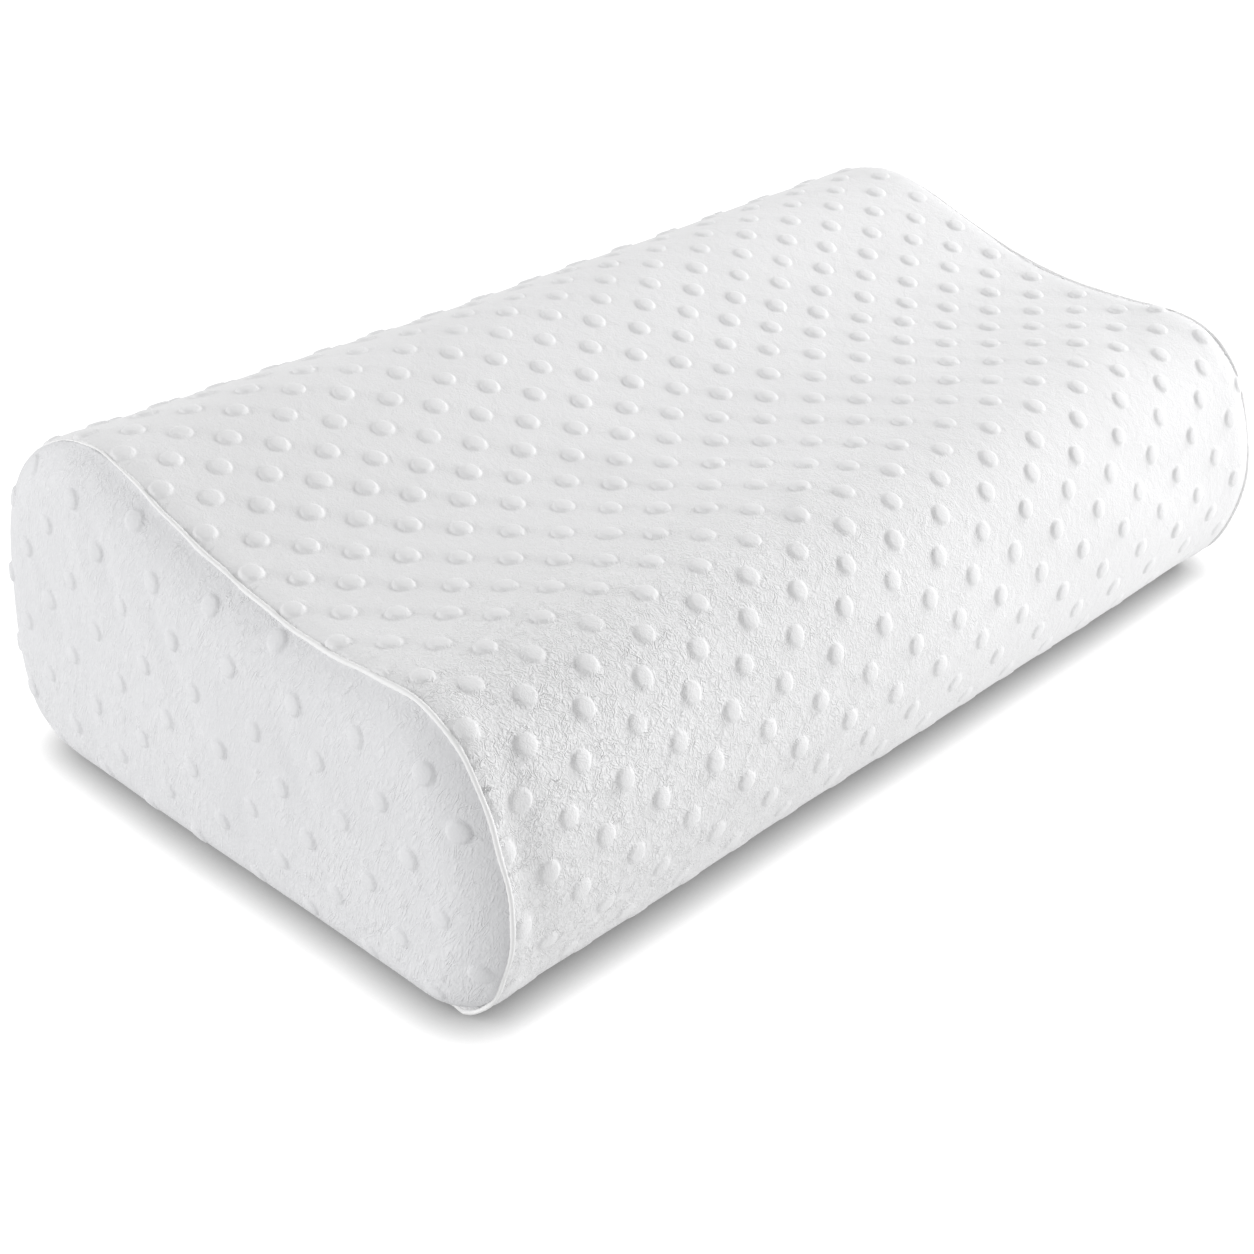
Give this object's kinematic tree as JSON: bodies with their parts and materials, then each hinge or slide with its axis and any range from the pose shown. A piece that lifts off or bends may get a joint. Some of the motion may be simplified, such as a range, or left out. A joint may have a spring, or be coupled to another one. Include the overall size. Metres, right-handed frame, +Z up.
{
  "type": "cervical pillow",
  "caption": "Contoured neck pillow in raised-dot velour: a wave-shaped filled body with a low neck roll and a high head roll, closed by sewn end panels.",
  "frame": {"origin": "under the middle of the pillow, on the surface that it lies on", "axes": "+X along the length, -Y towards the low neck roll, +Y towards the high head roll, +Z up"},
  "size_m": [0.5, 0.2976, 0.1555],
  "materials": {
    "velour_wrap": "short-pile white velour with raised dots",
    "velour_end": "the same white velour, its nap brushed down the panel",
    "velour_seam": "rolled velour edge at the seam"
  },
  "bodies": {
    "root": {"pillow_body": "velour_wrap", "end_panel_near": "velour_end", "end_panel_far": "velour_end", "seam_ridge_near": "velour_seam", "seam_ridge_far": "velour_seam"}
  },
  "joints": []
}
